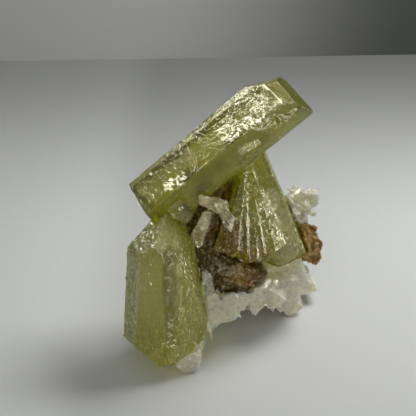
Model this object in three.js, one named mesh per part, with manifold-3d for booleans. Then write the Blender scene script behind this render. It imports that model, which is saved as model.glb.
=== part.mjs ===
// Brazilianite on albite: yellow-green prismatic crystals on a base of white bladed albite, with brown iron staining.
// Millimetres, +Z up. The specimen stands on its lowest points, and its front looks along -Y.
import * as THREE from "three";
import { SimplexNoise } from "three/addons/math/SimplexNoise.js";
import { mergeVertices } from "three/addons/utils/BufferGeometryUtils.js";
import Module from "manifold-3d";

const wasm = await Module();
wasm.setup();

// Driving dimensions. Places are measured from a point on the table under the middle of the long crystal.
const GAP = 0.3; // clearance between two minerals that meet
const STOCK = 90; // side of the block that crystals are cut from
const TABLE_Z = 0; // height of the surface that the specimen stands on
const WELD = 1e-4; // distance under which two corners of a mesh are one
const BLADE_SLANT = 32; // degrees that the end faces of an albite blade rise
const LUMP_GRAIN = 2; // how many swells a lump has across its unit radius

const BRAZILIANITE = { color: 0xa9ab4e, roughness: 0.25, metalness: 0 };
const ALBITE = { color: 0xdedcd2, roughness: 0.55, metalness: 0 };
const IRON_STAIN = { color: 0x6b4a22, roughness: 0.7, metalness: 0 };

const AXIS_X = new THREE.Vector3(1, 0, 0);
const AXIS_Y = new THREE.Vector3(0, 1, 0);
const AXIS_Z = new THREE.Vector3(0, 0, 1);

const point = (xyz) => new THREE.Vector3(...xyz);
const radians = THREE.MathUtils.degToRad;
const degrees = THREE.MathUtils.radToDeg;

// A repeatable source of numbers from 0 to 1.
function dice(seed) {
  const modulus = 2147483647;
  const multiplier = 16807;
  let state = (seed * 7919) % modulus;
  return () => {
    state = (state * multiplier) % modulus;
    return state / modulus;
  };
}

// A closed three.js geometry as a solid that can be cut and joined.
function solidOf(geometry) {
  const bare = geometry.clone();
  bare.deleteAttribute("normal");
  bare.deleteAttribute("uv");
  const merged = mergeVertices(bare, WELD);
  return new wasm.Manifold(
    new wasm.Mesh({
      numProp: 3,
      vertProperties: merged.attributes.position.array,
      triVerts: new Uint32Array(merged.index.array),
    }),
  );
}

// A solid as a three.js geometry with flat facets.
function geometryOf(solid) {
  const mesh = solid.getMesh();
  const indexed = new THREE.BufferGeometry()
    .setAttribute("position", new THREE.BufferAttribute(mesh.vertProperties, 3))
    .setIndex(new THREE.BufferAttribute(mesh.triVerts, 1));
  const geometry = indexed.toNonIndexed();
  geometry.computeVertexNormals();
  return geometry;
}

const join = (solids) => solids.reduce((all, next) => all.add(next));

function largestBody(solid) {
  return solid.decompose().sort((a, b) => b.volume() - a.volume())[0];
}

// Which way a face looks: bearing is degrees round from the front, growing to the right, and tilt is degrees upward.
function outward(bearing, tilt) {
  const b = radians(bearing);
  const t = radians(tilt);
  return new THREE.Vector3(Math.sin(b) * Math.cos(t), -Math.cos(b) * Math.cos(t), Math.sin(t));
}

// How a crystal that was made upright stands. turn spins it about its own axis, nod leans its top backward and lean
// leans its top to the right, all in degrees.
function stance({ turn = 0, nod = 0, lean = 0 }) {
  return new THREE.Quaternion()
    .setFromAxisAngle(AXIS_Y, radians(lean))
    .multiply(new THREE.Quaternion().setFromAxisAngle(AXIS_X, radians(-nod)))
    .multiply(new THREE.Quaternion().setFromAxisAngle(AXIS_Z, radians(turn)));
}

// Puts a solid that was made upright at the origin in its place.
function place(solid, where) {
  const pose = new THREE.Matrix4().makeRotationFromQuaternion(stance(where)).setPosition(point(where.at));
  return solid.transform(pose.elements);
}

// The nod and lean that point a crystal's own axis along a direction.
const aim = (direction) => ({
  nod: degrees(Math.asin(direction.y)),
  lean: degrees(Math.atan2(direction.x, direction.z)),
});

// What stands beyond a distance on one side of a crystal, between two heights along it: cut away, it leaves a ledge.
function ledge([bearing, distance, from, to], grow) {
  const reach = STOCK / 2 + distance + grow;
  const block = new THREE.BoxGeometry(STOCK, STOCK, to - from);
  block.translate(0, -reach, (from + to) / 2);
  block.rotateZ(radians(bearing));
  return solidOf(block);
}

// A crystal is bounded by flat faces, each given as [bearing, tilt, distance from the crystal's centre].
function crystal(shape, grow = 0) {
  let solid = solidOf(new THREE.BoxGeometry(STOCK, STOCK, STOCK));
  for (const [bearing, tilt, distance] of shape.faces) {
    const inward = outward(bearing, tilt).negate();
    solid = solid.trimByPlane(inward.toArray(), -(distance + grow));
  }
  for (const step of shape.ledges ?? []) solid = solid.subtract(ledge(step, grow));
  return place(solid, shape);
}

// A blade of albite, made upright: broad faces to the front and back, narrow sides, and a slanted, pointed end below
// and above. The two faces at an end rise by slant and by one and a half times slant.
function blade({ width, height, thickness, slant = BLADE_SLANT, ...where }) {
  const steep = slant * 1.5;
  const corner = (height / 2) * Math.cos(radians(slant));
  return {
    ...where,
    faces: [
      [0, 0, thickness / 2],
      [180, 0, thickness / 2],
      [90, 4, width / 2],
      [-90, 6, width / 2],
      [-90, 90 - slant, corner],
      [90, 90 - steep, corner],
      [90, slant - 90, corner],
      [-90, steep - 90, corner],
    ],
  };
}

// A blade given by where the point of its front face hangs, which is where the two faces of its lower end meet.
function tooth({ tip, slant = BLADE_SLANT, ...rest }) {
  const low = radians(slant);
  const high = radians(slant * 1.5);
  const corner = (rest.height / 2) * Math.cos(low);
  const depth = (corner * (Math.sin(low) + Math.sin(high))) / Math.sin(low + high);
  const side = (corner - depth * Math.cos(low)) / Math.sin(low);
  const centre = new THREE.Vector3(-side, rest.thickness / 2, depth);
  return blade({ at: centre.applyQuaternion(stance(rest)).add(point(tip)).toArray(), slant, ...rest });
}

// Blades that stand out of an egg-shaped heart on every side, as cleavelandite grows.
function spray({ at, radii, count, seed, width, height, thickness }) {
  const roll = dice(seed);
  const goldenAngle = Math.PI * (3 - Math.sqrt(5));
  return Array.from({ length: count }, (_, i) => {
    const z = (2 * i + 1) / count - 1;
    const ring = Math.sqrt(1 - z * z);
    const out = new THREE.Vector3(ring * Math.cos(goldenAngle * i), ring * Math.sin(goldenAngle * i), z);
    const depth = 0.75 + 0.2 * roll();
    const size = 0.75 + 0.5 * roll();
    return blade({
      at: out.clone().multiply(point(radii)).multiplyScalar(depth).add(point(at)).toArray(),
      ...aim(out),
      turn: 180 * roll(),
      width: width * size,
      height: height * size,
      thickness: thickness * size,
      slant: 22 + 20 * roll(),
    });
  });
}

// A rounded lump with an uneven skin.
function lump({ radii, bumps, seed, ...where }, grow = 0) {
  const noise = new SimplexNoise({ random: dice(seed) });
  const geometry = new THREE.IcosahedronGeometry(1, 2);
  const vertex = geometry.getAttribute("position");
  const skin = new THREE.Vector3();
  for (let i = 0; i < vertex.count; i++) {
    skin.fromBufferAttribute(vertex, i);
    const swell = noise.noise3d(skin.x * LUMP_GRAIN, skin.y * LUMP_GRAIN, skin.z * LUMP_GRAIN);
    skin.multiplyScalar(1 + bumps * swell).multiply(point(radii).addScalar(grow));
    vertex.setXYZ(i, skin.x, skin.y, skin.z);
  }
  return place(solidOf(geometry), where);
}

const form = (shape, grow) => (shape.faces ? crystal(shape, grow) : lump(shape, grow));
const forms = (shapes, grow) => join(shapes.map((shape) => form(shape, grow)));

// A slender crystal that runs from its head down to its foot and grows wider on the way.
function spoke({ head, foot, width, depth, turn = 0, broken = [] }) {
  const taper = 5;
  const axis = point(head).sub(point(foot));
  const half = axis.length() / 2;
  return {
    at: point(foot).addScaledVector(axis, 0.5).toArray(),
    ...aim(axis.normalize()),
    turn,
    faces: [
      [-28, taper, depth / 2],
      [34, taper, depth / 2],
      [92, taper, width / 2],
      [150, taper, depth / 2],
      [-148, taper, depth / 2],
      [-88, taper, width / 2],
      [0, 80, half],
      [20, -62, half],
      [-70, -70, half],
      ...broken,
    ],
  };
}

// Slender crystals side by side over the front of the wedge, their feet on an arc from the left to the right.
function fibres({ head, left, right, bulge, count, seed }) {
  const roll = dice(seed);
  return Array.from({ length: count }, (_, i) => {
    const share = (i + 0.5) / count;
    const foot = point(left).lerp(point(right), share);
    foot.y -= bulge * Math.sin(Math.PI * share);
    foot.z += 2.4 * (roll() - 0.5);
    return spoke({ head, foot: foot.toArray(), width: 2 + 1.4 * roll(), depth: 3.6 + roll(), turn: 60 * (roll() - 0.5) });
  });
}

// The long crystal that lies across the top, its chisel end up to the right.
const TOP_PRISM = [
  {
    at: [0, 0, 42.6],
    lean: 51,
    faces: [
      [-78, -3, 5.3],
      [-41, -3, 4.2],
      [16, 0, 4.6],
      [38, 3, 5.3],
      [100, 2, 4.9],
      [150, 0, 4.4],
      [-150, 0, 4.6],
      [-110, -3, 5.6],
      [-105, 24, 9.6],
      [-95, 78, 15.8],
      [-55, 44, 13.2],
      [60, 62, 17.2],
      [150, 62, 15.6],
      [-20, -84, 19],
      [110, -55, 17],
    ],
    ledges: [
      [-78, 5.3, -STOCK / 2, 0.8],
      [-78, 4.9, -STOCK / 2, -2.6],
      [-41, 3.9, -STOCK / 2, -4],
      [38, 5, -STOCK / 2, -12],
    ],
  },
];

// The blocky crystal at the left, which stands on its lower end.
const LEFT_PRISM = [
  {
    at: [-10.3, -7.9, 16.9],
    faces: [
      [-25, 2, 6],
      [5, 2.5, 6.6],
      [35, 3, 6],
      [-68, 5, 6.5],
      [84, 9, 5.8],
      [150, 0, 6.3],
      [-150, 0, 6.8],
      [-88, 46, 10.2],
      [60, 45, 8.9],
      [75, 25, 6.3],
      [-52, -42, 13.2],
      [90, -62, 12.4],
      [0, -70, 16.3],
      [10, -45, 14.2],
    ],
  },
];

// The stubby crystal under the left end of the long one.
const KNOB = [
  {
    at: [-9.8, -2.2, 30.3],
    lean: 48,
    faces: [
      [-35, 0, 2.8],
      [25, 4, 3.5],
      [84, 8, 4],
      [150, 0, 3.5],
      [-150, 0, 3.5],
      [-90, 0, 4.4],
      [40, 52, 4.4],
      [-20, 70, 4.6],
      [0, -88, 2.8],
      [60, -50, 4.2],
    ],
  },
];

// The wedge of crystals that fans out below the long one.
const FAN = [
  spoke({ head: [4.8, 3, 41], foot: [12.2, 4.4, 16.8], width: 7.4, depth: 8.4, broken: [[-50, -42, 10.8]] }),
  spoke({ head: [5, 3, 40], foot: [5, 5, 18], width: 8, depth: 7 }),
  spoke({ head: [5, 4, 39], foot: [10.5, 9, 17], width: 6, depth: 6, turn: 20 }),
  ...fibres({ head: [4.6, 1.2, 40], left: [-0.4, -2.6, 22.4], right: [10.6, 0, 20], bulge: 2, count: 7, seed: 5 }),
];

// Pale blades in the hollow between the crystals.
const HOLLOW_BLADES = {
  albite_blade_upper: [
    blade({ at: [-1.6, -3.6, 32.3], width: 2.6, height: 6.4, thickness: 1.8, lean: -66, turn: 10 }),
    blade({ at: [0.7, -4, 29.9], width: 2.2, height: 6.6, thickness: 1.8, lean: -34, turn: 24 }),
  ],
  albite_blade_side: [
    blade({ at: [-4, -3.5, 26.8], width: 2.4, height: 8.4, thickness: 1.6, lean: 20, turn: -20 }),
  ],
  albite_blade_lower: [
    blade({ at: [-2.9, -5, 16.9], width: 2.2, height: 3.4, thickness: 1.6, lean: -10, turn: 10 }),
    blade({ at: [-2.5, -5, 14.4], width: 1.8, height: 3, thickness: 1.6, lean: 8, turn: -14 }),
  ],
};

// Iron-stained rock between the crystals.
const CORE = [
  { at: [-0.6, 2.8, 29], radii: [6.4, 3.6, 7.2], bumps: 0.2, seed: 31 },
  { at: [-1, 0.5, 22], radii: [5, 4.2, 8], seed: 3, bumps: 0.2 },
  { at: [1.2, -1.2, 16.6], radii: [6.2, 4.2, 5], seed: 5, bumps: 0.2 },
  { at: [5, -2.4, 16], radii: [3.6, 3.2, 3.4], seed: 7, bumps: 0.25 },
];

const NODULE = [{ at: [16.9, 7, 17.6], lean: -18, radii: [3.6, 3, 5.2], bumps: 0.25, seed: 11 }];

const ROSETTE = [
  { at: [15.2, 8, 25.8], radii: [2.4, 2.2, 2.8], bumps: 0.12, seed: 13 },
  ...spray({ at: [15.6, 8, 25.9], radii: [2.8, 2.4, 3], count: 16, seed: 4, width: 2.6, height: 3.6, thickness: 1.2 }),
];

const FOOT = [
  tooth({ tip: [-7.1, -13, -0.2], width: 4.8, height: 7.4, thickness: 4.4, lean: 6, turn: 12 }),
  tooth({ tip: [-6.2, -11.6, 2.4], width: 3, height: 6, thickness: 4, lean: -4, turn: -20 }),
];

// Where the serrated lower rim hangs at the front, and the blocks that carry the specimen at the right and behind.
const RIM = [
  tooth({ tip: [-2.2, -5, 4], width: 5, height: 9, thickness: 3.2, lean: -8, turn: 14 }),
  tooth({ tip: [0.5, -4.5, 5.9], width: 3.4, height: 7, thickness: 3.4, lean: 6, turn: -10 }),
  tooth({ tip: [2, -4, 8], width: 3.4, height: 6, thickness: 3.4, lean: 26, turn: 12 }),
  tooth({ tip: [6.9, -1, 5.1], width: 3, height: 8, thickness: 3.2, lean: -10, turn: 10, slant: 42 }),
  tooth({ tip: [9.6, 1.6, 5], width: 3.6, height: 8, thickness: 4, lean: 10, turn: -20 }),
  tooth({ tip: [12.4, 3.8, 2.6], width: 5, height: 12, thickness: 5, lean: 8, turn: 18 }),
  tooth({ tip: [14.9, 6.4, -0.4], width: 3.6, height: 12, thickness: 5, lean: -10, turn: 8 }),
  tooth({ tip: [1, 12, -0.4], width: 7, height: 12, thickness: 6, lean: 8, turn: -30 }),
  tooth({ tip: [8, 12, 1.5], width: 6, height: 12, thickness: 5, lean: -12, turn: 30 }),
];

// The big cleaved blade whose sharp corner points out to the right.
const SPUR = {
  at: [15.4, 13.3, 8],
  lean: -31,
  turn: 6,
  faces: [
    [0, 0, 2.3],
    [180, 0, 2.3],
    [90, 0, 2.4],
    [-90, 0, 2.4],
    [-90, -72, 6],
    [30, 80, 5],
  ],
};

const MATRIX = [
  { at: [6, 4.5, 12.5], radii: [9, 6.6, 5.4], bumps: 0.12, seed: 17 },
  { at: [12.5, 6, 12.4], radii: [5, 5.6, 6.4], bumps: 0.12, seed: 19 },
  { at: [1.5, 8, 10.8], radii: [7, 5.6, 6], bumps: 0.12, seed: 23 },
  { at: [0, 6, 17.4], radii: [4.6, 3, 5], bumps: 0.12, seed: 29 },
  blade({ at: [12.6, 3.2, 14.4], width: 7.4, height: 14, thickness: 5, lean: -14, turn: 12, nod: -6 }),
  SPUR,
  ...RIM,
  ...spray({ at: [6.6, 7, 12.8], radii: [8.8, 8, 5.8], count: 30, seed: 6, width: 4.2, height: 6.4, thickness: 2 }),
  ...spray({ at: [-0.4, 6.6, 18], radii: [4.4, 3, 4.6], count: 16, seed: 8, width: 2.8, height: 4.4, thickness: 1.4 }),
];

// Every mineral piece, from those that grew their full shape to those that fill what the others leave.
const PIECES = [
  ["brazilianite_top_prism", TOP_PRISM, BRAZILIANITE],
  ["brazilianite_left_prism", LEFT_PRISM, BRAZILIANITE],
  ["brazilianite_knob", KNOB, BRAZILIANITE],
  ["brazilianite_fan", FAN, BRAZILIANITE],
  ...Object.entries(HOLLOW_BLADES).map(([name, shapes]) => [name, shapes, ALBITE]),
  ["albite_foot", FOOT, ALBITE],
  ["albite_rosette", ROSETTE, ALBITE],
  ["iron_nodule", NODULE, IRON_STAIN],
  ["iron_stained_core", CORE, IRON_STAIN],
  ["albite_matrix", MATRIX, ALBITE],
];

const root = new THREE.Group();
PIECES.forEach(([name, shapes, finish], i) => {
  let solid = forms(shapes);
  for (const [, neighbour] of PIECES.slice(0, i)) solid = solid.subtract(forms(neighbour, GAP));
  solid = largestBody(solid.trimByPlane(AXIS_Z.toArray(), TABLE_Z));
  const piece = new THREE.Mesh(geometryOf(solid), new THREE.MeshStandardMaterial(finish));
  piece.name = name;
  root.add(piece);
});

// The origin is brought to the middle of the specimen's foot.
const bounds = new THREE.Box3().setFromObject(root);
root.position.copy(bounds.getCenter(new THREE.Vector3())).negate().setZ(-bounds.min.z);

export default root;
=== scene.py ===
"""Brazilianite on albite: the looks of the mineral specimen, laid out as a Blender add-on.

Each operator makes one piece, or a group of like pieces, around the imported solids. Lengths are in metres
unless a name or a comment says millimetres. Colours are linear red, green and blue.
"""

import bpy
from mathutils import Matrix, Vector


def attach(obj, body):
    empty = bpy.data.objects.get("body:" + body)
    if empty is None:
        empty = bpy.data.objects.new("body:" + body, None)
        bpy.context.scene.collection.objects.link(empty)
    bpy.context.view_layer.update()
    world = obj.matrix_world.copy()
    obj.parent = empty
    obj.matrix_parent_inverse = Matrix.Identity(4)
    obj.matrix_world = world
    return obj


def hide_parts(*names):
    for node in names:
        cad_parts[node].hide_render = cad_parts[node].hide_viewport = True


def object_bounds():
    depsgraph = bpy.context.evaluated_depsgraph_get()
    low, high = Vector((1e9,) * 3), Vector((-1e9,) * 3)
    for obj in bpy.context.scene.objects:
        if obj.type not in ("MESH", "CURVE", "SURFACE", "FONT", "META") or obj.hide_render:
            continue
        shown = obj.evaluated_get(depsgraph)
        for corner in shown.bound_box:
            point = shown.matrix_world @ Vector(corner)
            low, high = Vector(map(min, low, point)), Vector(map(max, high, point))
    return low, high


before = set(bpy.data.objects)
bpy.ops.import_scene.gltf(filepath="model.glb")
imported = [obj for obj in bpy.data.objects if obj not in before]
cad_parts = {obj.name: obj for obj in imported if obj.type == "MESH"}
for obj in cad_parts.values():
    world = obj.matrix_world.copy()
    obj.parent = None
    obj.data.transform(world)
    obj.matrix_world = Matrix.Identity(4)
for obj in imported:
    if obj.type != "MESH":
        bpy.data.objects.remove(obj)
CAD_BOX = [list(corner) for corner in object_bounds()]

import math
import random
from typing import NamedTuple

import bpy
from mathutils import Euler, Matrix, Vector

bl_info = {
    "name": "Brazilianite on albite",
    "version": (1, 0, 0),
    "blender": (4, 5, 0),
    "location": "View3D > Sidebar > Mineral",
    "description": "Dresses the solids of a mineral specimen as crystals, blades and iron crust",
    "category": "Add Mesh",
}

MM = 0.001
BODY = "root"
WELD = 1e-6  # distance under which two corners of a solid's loose triangles are one
FACET_ANGLE = math.radians(38)  # edges sharper than this stay crisp
BOX_MARGIN = 0.2 * MM  # how far a grown blade keeps inside the solids' box

# How each crystal's own axis stands, as (lean to the right, nod backward) in degrees.
LONG_AXIS = (51, 0)
LEFT_AXIS = (0, 0)
KNOB_AXIS = (48, 0)
FAN_AXIS = (-14, -6)
CLEAVAGE_AXIS = (24, 12)  # of the albite
BLADE_AXIS = (-45, 0)  # of the pale blades in the hollow

SHADED_OLIVE = (0.34, 0.32, 0.02)  # painted shade: dark olive on crystal faces that turn from the light or lie under another crystal
SHADED_STREAK = (0.24, 0.23, 0.0)  # painted shade: the dark band down an edge facet of the left crystal
GREY_QUARTZ = (0.36, 0.35, 0.25)  # the greyish, half-clear patches
LIT_GOLD = (0.95, 0.88, 0.50)  # painted light: the pale gold of the wedge's right face, which faces the light
CLEAR_GREY = (0.60, 0.56, 0.34)  # where the wedge turns to clear albite
IRON_WASH = (0.32, 0.215, 0.0)  # thin iron stain on a crystal
RED_RUST = (0.26, 0.11, 0.02)  # the reddest specks of the crust
OLIVE_SHADE_AND_REFLECTION = (0.60, 0.53, 0.28)  # painted shade and reflection: the olive that the crystals cast on the albite beside and between them

# How the long crystal's skin slopes.
UPPER_SLOPE = (-0.20, -0.07, -0.22)  # where the upper face gleams
LOWER_SLOPE = (0.10, 0.0, -0.45)  # where the face below it gleams
END_SLOPE = (0.18, 0.0, 0.0)  # where the end turns away from the light

BRAZILIANITE_IOR = 1.61
ALBITE_IOR = 1.53
CRYSTAL_GLOSS = 0.33  # specular level, lowered so that the pale floor doesn't grey the crystals
GLITTER_TILT = 0.6  # slope of a crystal's small facets where they glitter
ALBITE_TILT = 0.08  # slope of the calm facets of albite
DRAWN_OUT = 7.0  # how many times longer than wide clouds and growth lines are
SPECK_LENGTH = 2.5  # the same, of the pale specks in a crystal

# A small albite blade, in shares of its height.
BLADE_WIDTH = 0.46
BLADE_THICKNESS = 0.2
BLADE_ROOT = 0.55  # how much of it is in the rock
BLADE_HEIGHTS = (0.55, 1.25)  # the lowest and the tallest
BLADE_SWAY = 0.35  # how unevenly blades stand
BLADE_REACH = 1.3  # how far out of the rock there has to be room for one
BLADE_END = 0.1  # how far down from the top its free end is taken to reach
BLADE_TIP = (0.55, 0.8, 1.0)  # how much its free end keeps of its width, thickness and height
BLADE_POINT = (-0.12, 0.0, 1.0)  # what the free end narrows towards
BLADE_HINGE = (-0.05, 0.0, 1.0)  # what the free end turns about
BLADE_SLANT = math.radians(28)  # how far it turns
TRIES_PER_BLADE = 60
RIM_TOP = 14 * MM  # blades grow below this height
UNDERSIDE = -0.1  # on skin whose normal falls more steeply than this
REAR = 6 * MM  # and behind this place on every side

HOLLOW_FILL = (-7.2, 1.5, 23.6)  # middle of the rock behind the blades, in millimetres
HOLLOW_FILL_RADIUS = 2.8 * MM

# The stage. A fade is where one colour starts to turn and where it has turned, in millimetres.
FLOOR_SIZE = 3.0
FLOOR_NEAR = (0.64, 0.65, 0.63)
# Painted shade: the floor darkens towards the back, where the light falls off.
FLOOR_FAR_SHADE = (0.325, 0.33, 0.322)
FLOOR_FADE = (30, 170)
WALL_HEIGHT = 0.12
WALL_STRETCH = 20.0  # how many times wider than tall
WALL_BACK = 0.175
WALL_TURN = 0.05  # radians
WALL_LEFT = (0.53, 0.537, 0.517)
# Painted shade: the wall darkens towards its right.
WALL_RIGHT_SHADE = (0.085, 0.09, 0.077)
WALL_FADE = (-40, 75)
LEFT_PAINTED_LIGHT = 1.25  # painted light: how many times brighter the floor is painted at the left
LEFT_PAINTED_LIGHT_FADE = (-38, -18)
KEY_PLACE = (0.088, 0.042, 0.165)
KEY_SIZE = 0.08
KEY_TARGET = (0.03, 0.04, 0.0)
ROOM_PLACE = (-0.06, -0.45, 0.34)
ROOM_SIZE = 0.35
SKY_COLOUR = (0.93, 0.96, 1.0)
SKY_STRENGTH = 0.14
SENSOR_WIDTH = 36.0  # of the camera, in millimetres
CLIP_START = 0.005
GLINT_COLOUR = (1.0, 0.98, 0.84)

# Small bright windows that only gleam in the crystal faces: name, place, size and power.
GLINTS = (
    ("left_window", (-0.145, -0.117, 0.29), 0.16, 2.5),
    ("front_window", (0.03, -0.17, 0.04), 0.08, 0.3),
    ("right_window", (0.28, 0.05, 0.06), 0.06, 0.5),
    ("back_window", (-0.12, 0.13, 0.18), 0.08, 0.5),
)


class Spot(NamedTuple):
    """A round place in millimetres, full inside its radius and gone at its reach. A squeeze under 1 along an
    axis draws it out that way."""

    centre: tuple
    radius: float
    reach: float
    squeeze: tuple = (1, 1, 1)


class BrazilianiteSettings(bpy.types.PropertyGroup):
    """Sizes and colours of the yellow-green crystals."""

    skin: bpy.props.FloatProperty(
        name="Skin", description="Side of the small faces that a crystal's skin is made of",
        default=0.2 * MM, min=0.1 * MM, unit="LENGTH", precision=5)
    etching: bpy.props.FloatProperty(
        name="Etching", description="Depth of the natural etching on a crystal face",
        default=0.22 * MM, min=0.0, unit="LENGTH", precision=5)
    striation: bpy.props.FloatProperty(
        name="Striation", description="Depth of the growth lines that run along a crystal",
        default=0.16 * MM, min=0.0, unit="LENGTH", precision=5)
    body: bpy.props.FloatVectorProperty(
        name="Body colour", description="Colour that the clear crystal lets through",
        subtype="COLOR", default=(0.905, 0.90, 0.04), min=0.0, max=1.0)
    surface: bpy.props.FloatVectorProperty(
        name="Surface colour", description="Colour of the crystal's faintly clouded skin",
        subtype="COLOR", default=(0.44, 0.43, 0.02), min=0.0, max=1.0)
    milk: bpy.props.FloatVectorProperty(
        name="Milk colour", description="Colour of the pale, clouded zones",
        subtype="COLOR", default=(0.72, 0.69, 0.28), min=0.0, max=1.0)
    depth: bpy.props.FloatProperty(
        name="Colour depth", description="How fast the body colour deepens, per metre of crystal",
        default=250.0, min=0.0)


class AlbiteSettings(bpy.types.PropertyGroup):
    """Sizes and colours of the white bladed albite."""

    skin: bpy.props.FloatProperty(
        name="Skin", description="Side of the small faces that the matrix's skin is made of",
        default=0.22 * MM, min=0.1 * MM, unit="LENGTH", precision=5)
    blade: bpy.props.FloatProperty(
        name="Blade", description="Height of a small albite blade",
        default=2.4 * MM, min=0.5 * MM, unit="LENGTH", precision=5)
    white: bpy.props.FloatVectorProperty(
        name="White", description="Colour of clean albite",
        subtype="COLOR", default=(0.80, 0.755, 0.57), min=0.0, max=1.0)
    shade: bpy.props.FloatVectorProperty(
        name="Shade", description="Colour of the greyer, clearer albite",
        subtype="COLOR", default=(0.67, 0.66, 0.55), min=0.0, max=1.0)
    warm: bpy.props.FloatVectorProperty(
        name="Warm", description="Colour of the faintly iron-stained albite",
        subtype="COLOR", default=(0.82, 0.73, 0.58), min=0.0, max=1.0)


class IronSettings(bpy.types.PropertyGroup):
    """Colours of the iron staining."""

    olive: bpy.props.FloatVectorProperty(
        name="Olive", description="Colour of the deep, stained rock",
        subtype="COLOR", default=(0.10, 0.062, 0.003), min=0.0, max=1.0)
    brown: bpy.props.FloatVectorProperty(
        name="Brown", description="Colour of the crust on the stained rock",
        subtype="COLOR", default=(0.28, 0.185, 0.03), min=0.0, max=1.0)
    rust: bpy.props.FloatVectorProperty(
        name="Rust", description="Colour of the reddish nodule",
        subtype="COLOR", default=(0.60, 0.37, 0.11), min=0.0, max=1.0)
    pale: bpy.props.FloatVectorProperty(
        name="Pale grit", description="Colour of the pale grains in the crust",
        subtype="COLOR", default=(0.32, 0.24, 0.07), min=0.0, max=1.0)


class StageSettings(bpy.types.PropertyGroup):
    """The camera's place and the light."""

    target: bpy.props.FloatVectorProperty(
        name="Target", description="Point that the camera looks at",
        subtype="TRANSLATION", default=(-3.51 * MM, -1.79 * MM, 29.5 * MM), precision=5)
    elevation: bpy.props.FloatProperty(
        name="Elevation", description="How far above the level the camera stands",
        subtype="ANGLE", default=math.radians(28))
    distance: bpy.props.FloatProperty(
        name="Distance", description="From the camera to its target",
        default=171 * MM, unit="LENGTH")
    lens: bpy.props.FloatProperty(
        name="Lens", description="Focal length on a 36 mm sensor, in millimetres",
        default=77.88)
    key: bpy.props.FloatProperty(
        name="Key light", description="Power of the soft light above",
        default=0.24, min=0.0)
    room: bpy.props.FloatProperty(
        name="Room light", description="Power of the broad soft light in front",
        default=0.5, min=0.0)
    glints: bpy.props.FloatProperty(
        name="Glints", description="Brightness of the small windows that gleam in the crystals",
        default=1.25, min=0.0)


def choose(*things):
    """Selects these objects alone, the first of them active."""
    bpy.ops.object.select_all(action="DESELECT")
    for thing in things:
        thing.select_set(True)
    bpy.context.view_layer.objects.active = things[0]


def apply_modifier(piece, kind, **settings):
    """Adds a modifier with its settings, and applies it."""
    choose(piece)
    bpy.ops.object.modifier_add(type=kind)
    modifier = piece.modifiers[-1]
    for name, value in settings.items():
        setattr(modifier, name, value)
    bpy.ops.object.modifier_apply(modifier=modifier.name)


def copy_of_node(node, name):
    """A piece that starts as a copy of a CAD node's mesh, its loose triangles merged."""
    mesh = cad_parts[node].data.copy()
    mesh.name = name
    mesh.materials.clear()
    piece = bpy.data.objects.new(name, mesh)
    bpy.context.scene.collection.objects.link(piece)
    choose(piece)
    bpy.ops.object.mode_set(mode="EDIT")
    bpy.ops.mesh.select_all(action="SELECT")
    bpy.ops.mesh.remove_doubles(threshold=WELD)
    bpy.ops.object.mode_set(mode="OBJECT")
    return piece


def join_into(piece, others):
    """Joins other meshes into the piece."""
    choose(piece, *others)
    bpy.ops.object.join()


def reskin(piece, grain):
    """One closed skin of small even faces over all of a piece's overlapping shapes."""
    apply_modifier(piece, "REMESH", mode="VOXEL", voxel_size=grain, adaptivity=0.0)


def zone(piece, name, spots):
    """A vertex group that is full inside each spot and fades out around it."""
    group = piece.vertex_groups.new(name=name)
    for vertex in piece.data.vertices:
        weight = 0.0
        for spot in spots:
            away = (vertex.co / MM - Vector(spot.centre)) * Vector(spot.squeeze)
            weight = max(weight, (spot.reach - away.length) / (spot.reach - spot.radius))
        if weight > 0.0:
            group.add([vertex.index], min(weight, 1.0), "REPLACE")
    return name


def spots_along(start, end, radius, reach, count):
    """Spots in a row, from one point to another."""
    step = (Vector(end) - Vector(start)) / (count - 1)
    return [Spot(tuple(Vector(start) + i * step), radius, reach) for i in range(count)]


def axis_turn(axis):
    """The rotation that stands an upright thing along a crystal's axis."""
    lean, nod = axis
    turn = Matrix.Rotation(math.radians(lean), 3, "Y") @ Matrix.Rotation(math.radians(-nod), 3, "X")
    return turn.to_euler()


def etch(piece, pattern, depth, grain, axis=(0, 0), stretch=1.0, group=""):
    """Sinks a pattern into the skin, never proud of it. grain is the pattern's size in millimetres, drawn
    out along the crystal's axis by stretch."""
    bpy.ops.object.empty_add(type="PLAIN_AXES", rotation=axis_turn(axis), location=(0, 0, 0))
    guide = bpy.context.object
    guide.scale = (grain * MM, grain * MM, grain * MM * stretch)
    texture = bpy.data.textures.new("etching", pattern)
    texture.noise_scale = 1.0
    if pattern == "CLOUDS":
        texture.noise_depth = 3
    apply_modifier(piece, "DISPLACE", texture=texture, texture_coords="OBJECT", texture_coords_object=guide,
                   strength=depth, mid_level=1.0, vertex_group=group)
    bpy.data.textures.remove(texture)
    bpy.data.objects.remove(guide)


def finish_piece(piece, node, material):
    """Gives a piece its material and shading, and sets it in the place of its CAD node."""
    piece.data.materials.clear()
    piece.data.materials.append(material)
    choose(piece)
    bpy.ops.object.shade_smooth_by_angle(angle=FACET_ANGLE)
    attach(piece, BODY)
    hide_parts(node)


def add_node(tree, kind, feeds=None, **settings):
    """A shader node with its settings. feeds gives an input its value, or the output that drives it."""
    made = tree.nodes.new(kind)
    for name, value in settings.items():
        setattr(made, name, value)
    for name, value in (feeds or {}).items():
        if isinstance(value, bpy.types.NodeSocket):
            tree.links.new(value, made.inputs[name])
        else:
            made.inputs[name].default_value = value
    return made


def combine(tree, operation, first, second):
    """The output of a math node on two numbers or outputs."""
    return add_node(tree, "ShaderNodeMath", {0: first, 1: second}, operation=operation).outputs[0]


def vector_math(tree, operation, first, second):
    """The vector that a vector math node makes of two others."""
    made = add_node(tree, "ShaderNodeVectorMath", {0: first, 1: second}, operation=operation)
    return made.outputs["Vector"]


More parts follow.
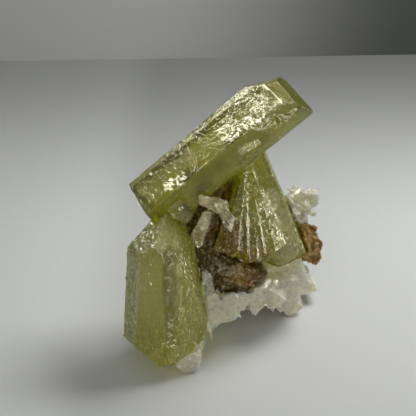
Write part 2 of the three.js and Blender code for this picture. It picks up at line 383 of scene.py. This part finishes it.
def scaled(tree, vector, factor):
    """The vector or colour times a number."""
    made = add_node(tree, "ShaderNodeVectorMath", {0: vector, "Scale": factor}, operation="SCALE")
    return made.outputs["Vector"]


def between(tree, amount, low, high):
    """An amount from 0 to 1 turned into a value from low to high."""
    made = add_node(tree, "ShaderNodeMapRange", {"Value": amount, "To Min": low, "To Max": high})
    return made.outputs["Result"]


def mix_colours(tree, amount, first, second):
    """The output of a node that mixes two colours or colour outputs."""
    return add_node(tree, "ShaderNodeMix", {0: amount, 6: first, 7: second}, data_type="RGBA").outputs[2]


def opaque(colour):
    return (*colour, 1.0)


def new_group(name, inputs, output):
    """An empty shader node group with float or vector inputs and one float output."""
    tree = bpy.data.node_groups.new(name, "ShaderNodeTree")
    for label, kind in inputs.items():
        tree.interface.new_socket(name=label, in_out="INPUT", socket_type=kind)
    tree.interface.new_socket(name=output, in_out="OUTPUT", socket_type="NodeSocketFloat")
    return tree, tree.nodes.new("NodeGroupInput").outputs, tree.nodes.new("NodeGroupOutput").inputs


def uneven_group():
    """Soft uneven patches. Fineness is how many there are to a millimetre, and Low and High are the levels
    of the noise that become 0 and 1."""
    name = "uneven patches"
    if name in bpy.data.node_groups:
        return bpy.data.node_groups[name]
    tree, given, result = new_group(name, {
        "Point": "NodeSocketVector", "Fineness": "NodeSocketFloat", "Low": "NodeSocketFloat",
        "High": "NodeSocketFloat"}, "Amount")
    noise = add_node(tree, "ShaderNodeTexNoise", {
        "Vector": given["Point"], "Scale": given["Fineness"], "Detail": 4.0, "Roughness": 0.6})
    spread = add_node(tree, "ShaderNodeMapRange", {
        "Value": noise.outputs["Fac"], "From Min": given["Low"], "From Max": given["High"]})
    tree.links.new(spread.outputs["Result"], result["Amount"])
    return tree


def near_group():
    """How near a point is to a spot: 1 inside its radius, and 0 beyond its reach."""
    name = "near a spot"
    if name in bpy.data.node_groups:
        return bpy.data.node_groups[name]
    tree, given, result = new_group(name, {
        "Point": "NodeSocketVector", "Spot": "NodeSocketVector", "Squeeze": "NodeSocketVector",
        "Radius": "NodeSocketFloat", "Reach": "NodeSocketFloat"}, "Amount")
    away = vector_math(tree, "SUBTRACT", given["Point"], given["Spot"])
    drawn = vector_math(tree, "MULTIPLY", away, given["Squeeze"])
    distance = add_node(tree, "ShaderNodeVectorMath", {0: drawn}, operation="LENGTH")
    ramp = add_node(tree, "ShaderNodeMapRange", {
        "Value": distance.outputs["Value"], "From Min": given["Radius"], "From Max": given["Reach"],
        "To Min": 1.0, "To Max": 0.0}, interpolation_type="SMOOTHSTEP")
    tree.links.new(ramp.outputs["Result"], result["Amount"])
    return tree


def grain_group():
    """Height of a fine, uneven grain, in millimetres."""
    name = "fine grain"
    if name in bpy.data.node_groups:
        return bpy.data.node_groups[name]
    tree, given, result = new_group(name, {
        "Point": "NodeSocketVector", "Fineness": "NodeSocketFloat", "Depth": "NodeSocketFloat"}, "Height")
    noise = add_node(tree, "ShaderNodeTexNoise", {
        "Vector": given["Point"], "Scale": given["Fineness"], "Detail": 5.0, "Roughness": 0.6})
    height = combine(tree, "MULTIPLY", noise.outputs["Fac"], given["Depth"])
    tree.links.new(height, result["Height"])
    return tree


def facet_group():
    """Height, in millimetres, of small flat facets that each tilt their own way. Tilt is how steep they are,
    and Lean the slope that they share."""
    name = "small facets"
    if name in bpy.data.node_groups:
        return bpy.data.node_groups[name]
    tree, given, result = new_group(name, {
        "Point": "NodeSocketVector", "Fineness": "NodeSocketFloat", "Tilt": "NodeSocketFloat",
        "Lean": "NodeSocketVector"}, "Height")
    cells = add_node(tree, "ShaderNodeTexVoronoi", {"Vector": given["Point"], "Scale": given["Fineness"]})
    own = vector_math(tree, "SUBTRACT", cells.outputs["Color"], (0.5, 0.5, 0.5))
    slope = vector_math(tree, "ADD", scaled(tree, own, given["Tilt"]), given["Lean"])
    away = vector_math(tree, "SUBTRACT", given["Point"], cells.outputs["Position"])
    height = add_node(tree, "ShaderNodeVectorMath", {0: slope, 1: away}, operation="DOT_PRODUCT")
    tree.links.new(height.outputs["Value"], result["Height"])
    return tree


def place_group(tree, group, **feeds):
    """Places a node group in a material, and returns its one output."""
    return add_node(tree, "ShaderNodeGroup", feeds, node_tree=group).outputs[0]


def uneven(tree, point, fineness, low, high):
    return place_group(tree, uneven_group(), Point=point, Fineness=fineness, Low=low, High=high)


def fine_grain(tree, point, fineness, depth):
    return place_group(tree, grain_group(), Point=point, Fineness=fineness, Depth=depth)


def facets(tree, point, fineness, tilt, lean=(0, 0, 0)):
    return place_group(tree, facet_group(), Point=point, Fineness=fineness, Tilt=tilt, Lean=lean)


def near_spots(tree, point, spots, amount=0.0):
    """The larger of an amount and the nearness to any spot."""
    for spot in spots:
        near = place_group(tree, near_group(), Point=point, Spot=spot.centre, Radius=spot.radius,
                           Reach=spot.reach, Squeeze=spot.squeeze)
        amount = combine(tree, "MAXIMUM", amount, near)
    return amount


def tinted(tree, point, colour, tints):
    """A colour that turns into each tint, given as (its colour, its spots)."""
    for tint, spots in tints:
        colour = mix_colours(tree, near_spots(tree, point, spots), colour, opaque(tint))
    return colour


def skin_normal(tree, *heights):
    """The normal of a skin that rises by the sum of some heights in millimetres."""
    total = heights[0]
    for height in heights[1:]:
        total = combine(tree, "ADD", total, height)
    made = add_node(tree, "ShaderNodeBump", {"Height": total, "Strength": 1.0, "Distance": MM})
    return made.outputs["Normal"]


def new_material(name):
    """A material with an empty tree, and its point of the object in millimetres."""
    material = bpy.data.materials.new(name)
    material.use_nodes = True
    tree = material.node_tree
    tree.nodes.clear()
    place = add_node(tree, "ShaderNodeTexCoord").outputs["Object"]
    return material, tree, scaled(tree, place, 1 / MM)


def along_axis(tree, point, axis, stretch):
    """The point seen in a crystal's own axes, drawn out along it."""
    return add_node(tree, "ShaderNodeMapping", {
        "Vector": point, "Rotation": axis_turn(axis), "Scale": (1.0, 1.0, stretch)},
        vector_type="TEXTURE").outputs["Vector"]


def brazilianite(name, axis, clear, gloss, milkiness, relief, speckle=0.3, fineness=2.1, lined=0.07,
                 tints=(), glittering=(), gleams=()):
    """Clear to cloudy yellow-green crystal. gloss is the roughness of its bright and of its dull patches.
    relief is the tilt of the small facets of its skin, and glittering the spots where they are steeper.
    speckle is how strongly fine pale specks show, fineness how many facets lie side by side in a
    millimetre, and lined how deep the fine growth lines are. gleams are (slope, spots) where the skin leans
    toward a light or away from it."""
    look = bpy.context.scene.brazilianite
    material, tree, point = new_material(name)
    drawn = along_axis(tree, point, axis, DRAWN_OUT)
    clouds = uneven(tree, drawn, fineness=0.55, low=0.36, high=0.70)
    specks = uneven(tree, along_axis(tree, point, axis, SPECK_LENGTH), fineness=2.2, low=0.50, high=0.62)
    milk = add_node(tree, "ShaderNodeMath", {
        0: specks, 1: speckle, 2: combine(tree, "MULTIPLY", clouds, milkiness)},
        operation="MULTIPLY_ADD", use_clamp=True).outputs[0]
    colour = mix_colours(tree, milk, opaque(look.surface), opaque(look.milk))
    dull = uneven(tree, point, fineness=0.9, low=0.46, high=0.62)
    tilt = between(tree, near_spots(tree, point, glittering), relief, max(relief, GLITTER_TILT))
    lean = (0, 0, 0)
    for slope, spots in gleams:
        lean = vector_math(tree, "ADD", lean, scaled(tree, slope, near_spots(tree, point, spots)))
    normal = skin_normal(
        tree,
        facets(tree, point, fineness, tilt, lean),
        fine_grain(tree, point, fineness=2.4, depth=0.06),
        fine_grain(tree, drawn, fineness=2.2, depth=lined))
    shader = add_node(tree, "ShaderNodeBsdfPrincipled", {
        "Base Color": tinted(tree, point, colour, tints), "Roughness": between(tree, dull, *gloss),
        "Normal": normal, "IOR": BRAZILIANITE_IOR, "Specular IOR Level": CRYSTAL_GLOSS,
        "Transmission Weight": clear})
    depth = add_node(tree, "ShaderNodeVolumeAbsorption", {"Color": opaque(look.body), "Density": look.depth})
    add_node(tree, "ShaderNodeOutputMaterial", {
        "Surface": shader.outputs["BSDF"], "Volume": depth.outputs["Volume"]})
    return material


def albite(name, rough=0.42, clear=0.1, tints=(), glittering=()):
    """White feldspar in plates, warmed at random by a faint iron stain, and tinted with painted shade and
    reflection where it meets the crystals. Its pearly patches are less than half as rough as the rest."""
    look = bpy.context.scene.albite
    material, tree, point = new_material(name)
    patches = uneven(tree, point, fineness=0.3, low=0.40, high=0.60)
    colour = mix_colours(tree, patches, opaque(look.white), opaque(look.shade))
    warmth = uneven(tree, point, fineness=0.3, low=0.55, high=0.75)
    colour = mix_colours(tree, warmth, colour, opaque(look.warm))
    cleaved = along_axis(tree, point, CLEAVAGE_AXIS, DRAWN_OUT)
    normal = skin_normal(
        tree,
        facets(tree, point, fineness=1.6, tilt=near_spots(tree, point, glittering, ALBITE_TILT)),
        facets(tree, point, fineness=0.4, tilt=0.5),
        fine_grain(tree, cleaved, fineness=1.0, depth=0.06))
    pearl = uneven(tree, point, fineness=1.1, low=0.40, high=0.62)
    shader = add_node(tree, "ShaderNodeBsdfPrincipled", {
        "Base Color": tinted(tree, point, colour, tints),
        "Roughness": between(tree, pearl, 0.45 * rough, 1.2 * rough), "Normal": normal,
        "IOR": ALBITE_IOR, "Transmission Weight": clear, "Subsurface Weight": 0.85,
        "Subsurface Scale": 3.0 * MM, "Subsurface Radius": (1.0, 0.95, 0.8)})
    add_node(tree, "ShaderNodeOutputMaterial", {"Surface": shader.outputs["BSDF"]})
    return material


def iron_rock(name, crust, spread=0.3, gloss=(0.12, 0.5), spots=(), tints=()):
    """Dark olive-brown stained rock that turns to a crust in patches, and wholly in spots. spread is how far
    the patches run together."""
    look = bpy.context.scene.iron
    material, tree, point = new_material(name)
    patches = uneven(tree, point, fineness=0.8, low=0.62 - 0.3 * spread, high=0.80 - 0.2 * spread)
    crusted = near_spots(tree, point, spots, patches)
    colour = mix_colours(tree, crusted, opaque(look.olive), opaque(crust))
    pale = uneven(tree, point, fineness=1.6, low=0.64, high=0.80)
    colour = mix_colours(tree, pale, colour, opaque(look.pale))
    normal = skin_normal(
        tree,
        facets(tree, point, fineness=1.8, tilt=0.7),
        fine_grain(tree, point, fineness=2.0, depth=0.3))
    wet = uneven(tree, point, fineness=2.0, low=0.45, high=0.60)
    shader = add_node(tree, "ShaderNodeBsdfPrincipled", {
        "Base Color": tinted(tree, point, colour, tints), "Roughness": between(tree, wet, *gloss),
        "Normal": normal, "Specular IOR Level": 0.3})
    add_node(tree, "ShaderNodeOutputMaterial", {"Surface": shader.outputs["BSDF"]})
    return material


def blade_master():
    """One albite blade a unit high, upright on the origin: a thin plate, slanted at its free end."""
    bpy.ops.mesh.primitive_cube_add(size=1.0, location=(0, 0, 0.5))
    master = bpy.context.object
    master.scale = (BLADE_WIDTH, BLADE_THICKNESS, 1.0)
    bpy.ops.object.transform_apply(location=True, rotation=False, scale=True)
    choose(master)
    for vertex in master.data.vertices:
        vertex.select = vertex.co.z > 1.0 - BLADE_END
    for edge in master.data.edges:
        edge.select = all(master.data.vertices[i].select for i in edge.vertices)
    for face in master.data.polygons:
        face.select = all(master.data.vertices[i].select for i in face.vertices)
    bpy.ops.object.mode_set(mode="EDIT")
    bpy.ops.mesh.select_mode(type="FACE")
    bpy.ops.transform.resize(value=BLADE_TIP, center_override=BLADE_POINT)
    bpy.ops.transform.rotate(value=BLADE_SLANT, orient_axis="Y", center_override=BLADE_HINGE)
    bpy.ops.object.mode_set(mode="OBJECT")
    return master


def grow_blades(carrier, master, count, seed, height, allowed):
    """Copies of the master that stand out of the carrier's skin wherever allowed(place, normal) holds."""
    roll = random.Random(seed)
    places = [(vertex.co.copy(), vertex.normal.copy()) for vertex in carrier.data.vertices]
    grown = []
    tries = 0
    while len(grown) < count and tries < count * TRIES_PER_BLADE:
        tries += 1
        place, normal = places[roll.randrange(len(places))]
        sway = Vector([roll.gauss(0, BLADE_SWAY) for _ in range(3)])
        tall = height * roll.uniform(*BLADE_HEIGHTS)
        spin = roll.uniform(0, 2 * math.pi)
        if not allowed(place, normal):
            continue
        up = (normal + sway).normalized()
        turn = up.to_track_quat("Z", "Y") @ Euler((0, 0, spin)).to_quaternion()
        pose = Matrix.LocRotScale(place - up * tall * BLADE_ROOT, turn, Vector((tall, tall, tall)))
        blade = bpy.data.objects.new("blade", master.data.copy())
        bpy.context.scene.collection.objects.link(blade)
        blade.data.transform(pose)
        grown.append(blade)
    return grown


def inside_box(place):
    """Whether a place is well inside the box of the solids, above the table too."""
    low, high = CAD_BOX
    return all(low[i] + BOX_MARGIN < place[i] < high[i] - BOX_MARGIN for i in range(3))


class MESH_OT_long_crystal(bpy.types.Operator):
    """Make the long crystal that lies across the top"""

    bl_idname = "mesh.long_crystal"
    bl_label = "Long crystal"

    def execute(self, context):
        look = context.scene.brazilianite
        piece = copy_of_node("brazilianite_top_prism", "long_crystal")
        reskin(piece, look.skin)
        rough_end = [Spot((-15.5, -3, 36), 3, 7), Spot((-10, -2.5, 41), 2, 5), Spot((-5, -2, 46), 1, 3)]
        upper_sparkle = [Spot((0.4, -5, 47.4), 1.2, 2.6), Spot((3.5, -6, 49), 0.4, 1.4)]
        lower_sparkle = [*spots_along((5.4, -6.6, 48.8), (11.5, -6.3, 50.2), radius=0.6, reach=1.7, count=5),
                         *spots_along((2.6, -6.2, 43.6), (5.6, -6.2, 45), radius=0.3, reach=1.3, count=4)]
        # Painted reflection: a bright inner reflection in the crystal, tinted milk.
        reflection_patch = [Spot((-10.5, -5.6, 36.6), 0.3, 1.8), Spot((-8.4, -6, 37.6), 0.3, 1.8)]
        end_sparkle = [Spot((7, -4, 52), 0.5, 3.5)]
        # Painted shade: the end face, where it turns from the light, is tinted dark olive.
        shaded_end = [Spot((8.6, -4.6, 54.2), 1, 2.4), Spot((10.4, -5.2, 53), 0.8, 2)]
        # Painted highlight: a pale line along the edge of the end, tinted milk.
        highlight_line = spots_along((7.3, -3.2, 54.9), (12.6, -5.2, 51.9), radius=0.1, reach=0.45, count=12)
        # Painted shade: the lower face, which looks down and away from the light, is tinted dark olive.
        shaded_face = [Spot((-4, -6, 38), 1, 3), Spot((-1, -6, 40), 1, 3), Spot((2.5, -6, 42.5), 0.5, 3),
                     Spot((6, -6, 45), 0.5, 3)]
        sparkling = [*upper_sparkle, *lower_sparkle, *reflection_patch]
        etch(piece, "CLOUDS", 0.6 * look.striation, grain=1.2, axis=LONG_AXIS, stretch=8)
        for label, spots, depth in (("sparkle", sparkling, 1.2), ("rough end", rough_end, 0.8),
                                    ("end", end_sparkle, 0.5)):
            etch(piece, "VORONOI", depth * look.etching, grain=0.6, axis=LONG_AXIS, stretch=1.3,
                 group=zone(piece, label, spots))
        material = brazilianite(
            "clear_brazilianite", LONG_AXIS, clear=0.86, gloss=(0.03, 0.14), milkiness=0.35, relief=0.1,
            speckle=0.1,
            tints=[(GREY_QUARTZ, rough_end), (SHADED_OLIVE, [*shaded_face, *shaded_end]), (look.milk, reflection_patch),
                   (look.milk, highlight_line)],
            glittering=sparkling,
            gleams=[(UPPER_SLOPE, [*upper_sparkle, *reflection_patch]), (LOWER_SLOPE, lower_sparkle),
                    (END_SLOPE, shaded_end)])
        finish_piece(piece, "brazilianite_top_prism", material)
        return {"FINISHED"}


class MESH_OT_left_crystal(bpy.types.Operator):
    """Make the blocky crystal at the left"""

    bl_idname = "mesh.left_crystal"
    bl_label = "Left crystal"

    def execute(self, context):
        look = context.scene.brazilianite
        piece = copy_of_node("brazilianite_left_prism", "left_crystal")
        reskin(piece, look.skin)
        pitted_top = [Spot((-14, -10, 28), 3.5, 6.5)]
        # Painted shade: a dark band down the narrow edge facet.
        shaded_band = [Spot((-10.4, -15.5, 20.5), 0.7, 1.7, squeeze=(1, 0.3, 0.13))]
        # Painted highlight: pale lines along an edge of the top, tinted milk.
        highlight_lines = spots_along((-10.5, -9.4, 29), (-10.4, -14, 26.6), radius=0.1, reach=0.45, count=9)
        # Painted shade: dark olive on the narrow left facet, which turns from the light.
        shaded_side = spots_along((-18.7, -10, 24), (-18.7, -10.5, 8), radius=1.4, reach=2.4, count=5)
        # Painted highlight: a bright line down the left edge, tinted milk.
        highlight_edge = spots_along((-18.2, -11, 14), (-17.9, -11.5, 8), radius=0.1, reach=0.5, count=12)
        pale_patch = [Spot((-8.6, -14.3, 23.9), 0.6, 2), Spot((-15, -14.5, 19), 1, 6, squeeze=(1, 1, 0.5))]
        etch(piece, "CLOUDS", 1.3 * look.striation, grain=0.7, axis=LEFT_AXIS, stretch=10)
        etch(piece, "VORONOI", 0.6 * look.etching, grain=0.7, axis=LEFT_AXIS, stretch=1.6)
        etch(piece, "VORONOI", 2.4 * look.etching, grain=0.8, group=zone(piece, "pitted top", pitted_top))
        material = brazilianite(
            "cloudy_brazilianite", LEFT_AXIS, clear=0.64, gloss=(0.05, 0.22), milkiness=0.45, relief=0.6,
            speckle=0.8, fineness=2.6, lined=0.14,
            tints=[(look.milk, [*pitted_top, *pale_patch]), (SHADED_STREAK, shaded_band),
                   (SHADED_OLIVE, shaded_side), (look.milk, [*highlight_lines, *highlight_edge])],
            glittering=[*pitted_top, *highlight_lines])
        finish_piece(piece, "brazilianite_left_prism", material)
        return {"FINISHED"}


class MESH_OT_knob_crystal(bpy.types.Operator):
    """Make the stubby crystal under the long one"""

    bl_idname = "mesh.knob_crystal"
    bl_label = "Knob"

    def execute(self, context):
        look = context.scene.brazilianite
        piece = copy_of_node("brazilianite_knob", "knob_crystal")
        reskin(piece, look.skin)
        lit_side = [Spot((-6.8, -6, 31.5), 1, 3)]
        etch(piece, "CLOUDS", 1.6 * look.etching, grain=0.9, axis=KNOB_AXIS, stretch=2)
        material = brazilianite(
            "knob_brazilianite", KNOB_AXIS, clear=0.7, gloss=(0.06, 0.26), milkiness=0.9, relief=0.3,
            tints=[(GREY_QUARTZ, lit_side)], glittering=lit_side)
        finish_piece(piece, "brazilianite_knob", material)
        return {"FINISHED"}


class MESH_OT_crystal_wedge(bpy.types.Operator):
    """Make the wedge of crystals that fans out below the long one"""

    bl_idname = "mesh.crystal_wedge"
    bl_label = "Wedge"

    def execute(self, context):
        look = context.scene.brazilianite
        piece = copy_of_node("brazilianite_fan", "crystal_wedge")
        reskin(piece, look.skin)
        sparkling = [Spot((9.6, -3.2, 26.5), 1, 3), Spot((13.6, -1, 22), 1.5, 3.5),
                     Spot((8, -2.5, 31), 0.8, 2.6)]
        ragged_foot = spots_along((-1, -7, 22.3), (8, -5.2, 19.6), radius=1, reach=2.4, count=7)
        brown = [Spot((1.5, -7, 25), 2.5, 6.5), Spot((5.5, -7, 21.5), 2, 5)]
        grey = [Spot((11.2, -3, 19.6), 2.5, 5)]
        # Painted shade: dark olive at the top left of the wedge, under the long crystal.
        dark = [Spot((1.5, -3, 34), 1, 3.5)]
        # Painted light: the right face of the wedge, which faces the light, is tinted pale gold.
        pale = [Spot((8.5, -2, 31), 1.6, 3.4), Spot((10.8, -1.5, 26.5), 1.6, 3.6),
                Spot((13.5, -1, 22), 1.6, 3.4)]
        etch(piece, "CLOUDS", look.striation, grain=0.55, axis=FAN_AXIS, stretch=12)
        etch(piece, "VORONOI", 1.4 * look.etching, grain=0.7, axis=FAN_AXIS, stretch=2,
             group=zone(piece, "sparkle", sparkling))
        etch(piece, "VORONOI", 3.6 * look.etching, grain=1.1, axis=FAN_AXIS, stretch=2,
             group=zone(piece, "ragged foot", ragged_foot))
        material = brazilianite(
            "fibrous_brazilianite", FAN_AXIS, clear=0.7, gloss=(0.12, 0.3), milkiness=0.35, relief=0.14,
            speckle=0.2,
            tints=[(LIT_GOLD, pale), (IRON_WASH, brown), (CLEAR_GREY, grey), (SHADED_OLIVE, dark)],
            glittering=sparkling)
        finish_piece(piece, "brazilianite_fan", material)
        return {"FINISHED"}


class MESH_OT_hollow_blades(bpy.types.Operator):
    """Make the pale blades in the hollow between the crystals"""

    bl_idname = "mesh.hollow_blades"
    bl_label = "Hollow blades"

    def execute(self, context):
        # Painted shade and reflection: the crystals' olive on the blades in the hollow.
        olive = [Spot((-3, -5, 28), 7, 12)]
        tips = [Spot((-0.4, -7, 29), 0.5, 2.5)]
        material = albite("pale_blade", rough=0.22, clear=0.6, tints=[(OLIVE_SHADE_AND_REFLECTION, olive)], glittering=tips)
        for node in ("albite_blade_upper", "albite_blade_side", "albite_blade_lower"):
            piece = copy_of_node(node, node.replace("albite", "hollow"))
            reskin(piece, grain=0.13 * MM)
            etch(piece, "CLOUDS", depth=0.5 * MM, grain=0.5, axis=BLADE_AXIS, stretch=7)
            etch(piece, "VORONOI", depth=0.25 * MM, grain=0.6, axis=BLADE_AXIS, stretch=2)
            finish_piece(piece, node, material)
        return {"FINISHED"}


class MESH_OT_albite_blocks(bpy.types.Operator):
    """Make the white albite: the matrix, the block at the foot and the rosette"""

    bl_idname = "mesh.albite_blocks"
    bl_label = "Albite"

    def execute(self, context):
        look = context.scene.albite
        master = blade_master()
        room = BLADE_REACH * look.blade

        def on_matrix(place, normal):
            clear = inside_box(place + normal * room) and place.z < RIM_TOP
            return clear and (normal.z < UNDERSIDE or place.y > REAR)

        def on_rosette(place, normal):
            return inside_box(place + normal * look.blade)

        # Painted shade and reflection: the wedge's olive on the albite below it.
        olive = [Spot((9.5, -1, 17), 2.5, 6.5), Spot((12.5, 1, 18.5), 1, 5)]
        glittering = [Spot((-2.5, -9, 10), 1.5, 4), Spot((15.5, 8, 10), 1, 3)]
        stained = albite("stained_albite", tints=[(OLIVE_SHADE_AND_REFLECTION, olive)], glittering=glittering)
        clean = albite("clear_albite", rough=0.28, clear=0.25)
        # Node, piece, side of its small faces, material, and its blades: count, seed, height and where.
        recipes = (
            ("albite_matrix", "matrix_albite", look.skin, stained, (150, 0, look.blade, on_matrix)),
            ("albite_foot", "foot_albite", 0.16 * MM, clean, None),
            ("albite_rosette", "rosette_albite", 0.15 * MM, clean, (40, 2, 0.8 * look.blade, on_rosette)),
        )
        for node, name, skin, material, growth in recipes:
            piece = copy_of_node(node, name)
            if growth:
                join_into(piece, grow_blades(piece, master, *growth))
            reskin(piece, skin)
            etch(piece, "CLOUDS", depth=0.14 * MM, grain=1.6, axis=CLEAVAGE_AXIS, stretch=5)
            finish_piece(piece, node, material)
        bpy.data.objects.remove(master)
        return {"FINISHED"}


class MESH_OT_iron_rock(bpy.types.Operator):
    """Make the iron-stained rock: the core in the hollow and the nodule"""

    bl_idname = "mesh.iron_rock"
    bl_label = "Iron-stained rock"

    def execute(self, context):
        look = context.scene.iron
        core = copy_of_node("iron_stained_core", "stained_core")
        bpy.ops.mesh.primitive_ico_sphere_add(
            subdivisions=3, radius=HOLLOW_FILL_RADIUS, location=Vector(HOLLOW_FILL) * MM)
        join_into(core, [context.object])
        reskin(core, grain=0.2 * MM)
        etch(core, "CLOUDS", depth=0.6 * MM, grain=1.4)
        etch(core, "VORONOI", depth=0.9 * MM, grain=1.1)
        crusted = [Spot((3.5, -6.5, 17), 1, 4)]
        red = [Spot((1.1, -7.3, 16.8), 0.3, 1.2), Spot((6.5, -6, 17.6), 0.4, 1.4),
               Spot((4.4, -6.6, 15.8), 0.5, 1.6)]
        rock = iron_rock("stained_rock", look.brown, spots=crusted, tints=[(RED_RUST, red)])
        finish_piece(core, "iron_stained_core", rock)
        nodule = copy_of_node("iron_nodule", "rust_nodule")
        reskin(nodule, grain=0.15 * MM)
        etch(nodule, "CLOUDS", depth=0.7 * MM, grain=1.8)
        etch(nodule, "VORONOI", depth=0.6 * MM, grain=1.2)
        rust = iron_rock("rust_rock", look.rust, spread=1.0, gloss=(0.08, 0.3))
        finish_piece(nodule, "iron_nodule", rust)
        return {"FINISHED"}


class SCENE_OT_specimen_stage(bpy.types.Operator):
    """Make the floor, the wall behind, the lights and the camera"""

    bl_idname = "scene.specimen_stage"
    bl_label = "Stage"

    def execute(self, context):
        stage = context.scene.specimen_stage
        target = Vector(stage.target)
        bpy.ops.mesh.primitive_plane_add(size=FLOOR_SIZE, location=(0, 0, 0))
        floor = context.object
        floor.name = "stage_floor"
        self.paint(floor, "Y", FLOOR_FADE, FLOOR_NEAR, FLOOR_FAR_SHADE, LEFT_PAINTED_LIGHT)
        bpy.ops.mesh.primitive_plane_add(size=WALL_HEIGHT, location=(0, WALL_BACK, WALL_HEIGHT / 2),
                                         rotation=(math.pi / 2, 0, WALL_TURN))
        wall = context.object
        wall.name = "stage_wall"
        wall.scale = (WALL_STRETCH, 1.0, 1.0)
        bpy.ops.object.transform_apply(location=False, rotation=False, scale=True)
        self.paint(wall, "X", WALL_FADE, WALL_LEFT, WALL_RIGHT_SHADE)
        self.add_light("key", KEY_PLACE, KEY_SIZE, stage.key, Vector(KEY_TARGET))
        room = self.add_light("room", ROOM_PLACE, ROOM_SIZE, stage.room, target)
        room.visible_glossy = False
        for name, place, size, power in GLINTS:
            glint = self.add_light(name, place, size, stage.glints * power, target)
            glint.data.color = GLINT_COLOUR
            glint.visible_diffuse = False
            glint.visible_transmission = False
        world = bpy.data.worlds.new("studio")
        world.use_nodes = True
        sky = world.node_tree.nodes["Background"]
        sky.inputs["Color"].default_value = opaque(SKY_COLOUR)
        sky.inputs["Strength"].default_value = SKY_STRENGTH
        context.scene.world = world
        eye = target + stage.distance * Vector((0, -math.cos(stage.elevation), math.sin(stage.elevation)))
        bpy.ops.object.camera_add(location=eye, rotation=(math.pi / 2 - stage.elevation, 0, 0))
        camera = context.object
        camera.data.lens = stage.lens
        camera.data.sensor_width = SENSOR_WIDTH
        camera.data.clip_start = CLIP_START
        context.scene.camera = camera
        context.scene.view_settings.view_transform = "Standard"
        return {"FINISHED"}

    @staticmethod
    def paint(surface, direction, fade, near, far, painted_light=1.0):
        """Paints a stage surface, from one colour to another along a direction as painted shade, and
        brighter at the left by painted light."""
        material, tree, point = new_material(surface.name)
        places = add_node(tree, "ShaderNodeSeparateXYZ", {"Vector": point}).outputs
        amount = add_node(tree, "ShaderNodeMapRange", {
            "Value": places[direction], "From Min": fade[0], "From Max": fade[1]},
            interpolation_type="SMOOTHSTEP")
        # Painted light: the floor is painted brighter at the left.
        painted_light_gain = add_node(tree, "ShaderNodeMapRange", {
            "Value": places["X"], "From Min": LEFT_PAINTED_LIGHT_FADE[0], "From Max": LEFT_PAINTED_LIGHT_FADE[1],
            "To Min": painted_light, "To Max": 1.0}, interpolation_type="SMOOTHSTEP")
        colour = mix_colours(tree, amount.outputs["Result"], opaque(near), opaque(far))
        shader = add_node(tree, "ShaderNodeBsdfPrincipled", {
            "Base Color": scaled(tree, colour, painted_light_gain.outputs["Result"]), "Roughness": 0.8,
            "Specular IOR Level": 0.1})
        add_node(tree, "ShaderNodeOutputMaterial", {"Surface": shader.outputs["BSDF"]})
        surface.data.materials.append(material)

    @staticmethod
    def add_light(name, place, size, power, target):
        """A square soft light that looks at the target."""
        bpy.ops.object.light_add(type="AREA", location=place)
        light = bpy.context.object
        light.name = name
        light.data.size = size
        light.data.energy = power
        light.rotation_euler = (target - Vector(place)).to_track_quat("-Z", "Y").to_euler()
        return light


SETTINGS = {
    "brazilianite": BrazilianiteSettings,
    "albite": AlbiteSettings,
    "iron": IronSettings,
    "specimen_stage": StageSettings,
}
OPERATORS = (
    MESH_OT_long_crystal,
    MESH_OT_left_crystal,
    MESH_OT_knob_crystal,
    MESH_OT_crystal_wedge,
    MESH_OT_hollow_blades,
    MESH_OT_albite_blocks,
    MESH_OT_iron_rock,
    SCENE_OT_specimen_stage,
)


class VIEW3D_PT_mineral(bpy.types.Panel):
    """Lists the specimen's pieces and their settings"""

    bl_label = "Brazilianite on albite"
    bl_space_type = "VIEW_3D"
    bl_region_type = "UI"
    bl_category = "Mineral"

    def draw(self, context):
        for operator in OPERATORS:
            self.layout.operator(operator.bl_idname)
        for name, group in SETTINGS.items():
            box = self.layout.box()
            for prop in group.__annotations__:
                box.prop(getattr(context.scene, name), prop)


def register():
    for cls in (*SETTINGS.values(), *OPERATORS, VIEW3D_PT_mineral):
        bpy.utils.register_class(cls)
    for name, group in SETTINGS.items():
        setattr(bpy.types.Scene, name, bpy.props.PointerProperty(type=group))


def unregister():
    for name in SETTINGS:
        delattr(bpy.types.Scene, name)
    for cls in reversed((*SETTINGS.values(), *OPERATORS, VIEW3D_PT_mineral)):
        bpy.utils.unregister_class(cls)


def main():
    register()
    bpy.ops.mesh.long_crystal()
    bpy.ops.mesh.left_crystal()
    bpy.ops.mesh.knob_crystal()
    bpy.ops.mesh.crystal_wedge()
    bpy.ops.mesh.hollow_blades()
    bpy.ops.mesh.albite_blocks()
    bpy.ops.mesh.iron_rock()
    bpy.ops.scene.specimen_stage()


if __name__ == "__main__":
    main()
